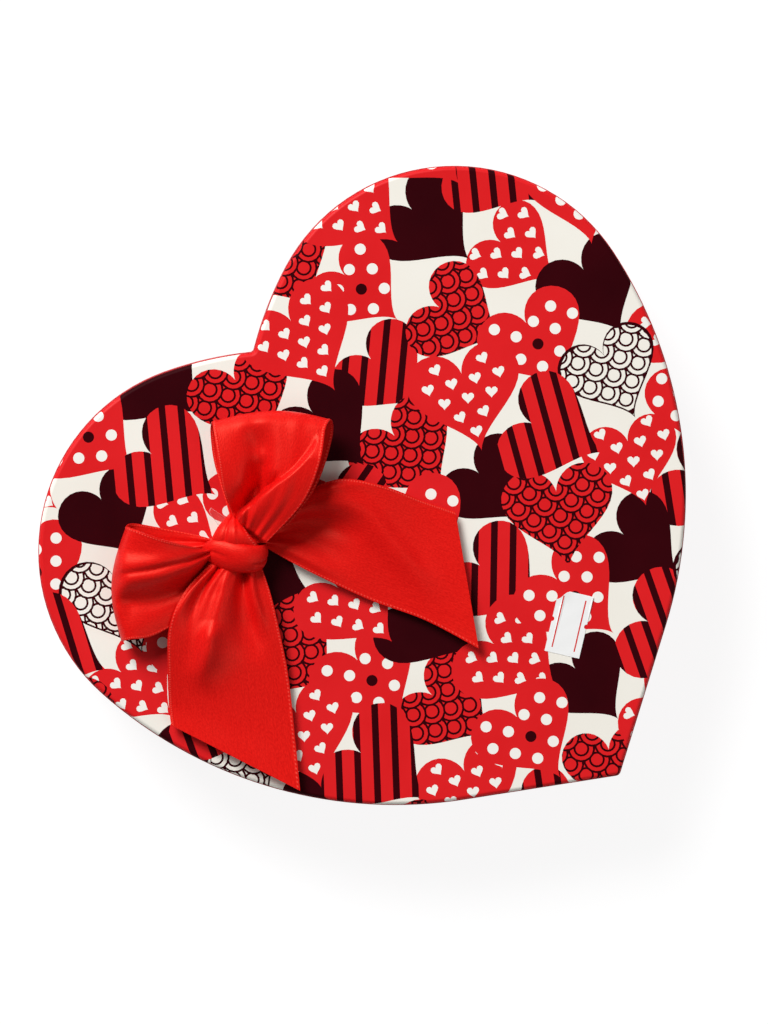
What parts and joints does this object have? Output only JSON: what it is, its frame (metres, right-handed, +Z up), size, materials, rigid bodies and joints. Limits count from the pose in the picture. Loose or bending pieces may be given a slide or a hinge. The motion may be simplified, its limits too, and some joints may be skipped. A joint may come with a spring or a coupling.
{
  "type": "heart-shaped gift box",
  "caption": "Heart-shaped gift box of paper-covered board: a tray, a telescoping lid that lifts off, a satin ribbon bow on the lid and a bare price sticker.",
  "frame": {"origin": "centre of the closed box's footprint, on the surface that the tray stands on", "axes": "+Z up, the way the lid lifts off; +Y towards the cleft of the heart, -Y towards its tip; +X to the right lobe seen from above with the cleft away"},
  "size_m": [0.212, 0.192, 0.0564],
  "materials": {
    "greyboard": "matt greyboard",
    "red_paper": "smooth coated red paper",
    "print_paper": "coated paper printed with hearts in red, dark maroon and white on cream",
    "cream_paper": "plain uncoated lining paper",
    "satin_ribbon": "single-face satin ribbon with stitched selvedges",
    "adhesive_film": "clear glossy film",
    "sticker_paper": "matt label paper with two thin red lines"
  },
  "bodies": {
    "base": {"base_floor_board": "greyboard", "base_wall_board": "greyboard", "base_corner_tape": "cream_paper", "base_wall_paper": "red_paper", "base_bottom_paper": "red_paper", "base_wall_liner": "cream_paper", "base_floor_liner": "cream_paper"},
    "lid": {"lid_top_board": "greyboard", "lid_rim_board": "greyboard", "lid_corner_tape": "cream_paper", "lid_face_paper": "print_paper", "lid_rim_paper": "red_paper", "lid_top_liner": "cream_paper", "bow_loop_upper": "satin_ribbon", "bow_loop_left": "satin_ribbon", "bow_tail_right": "satin_ribbon", "bow_tail_lower": "satin_ribbon", "bow_knot": "satin_ribbon", "bow_adhesive_dot": "adhesive_film", "price_sticker": "sticker_paper"}
  },
  "joints": [
    {"name": "lid_lift", "type": "slide", "parent": "base", "child": "lid", "axis": [0, 0, 1], "range_m": [0, 0.08]}
  ]
}
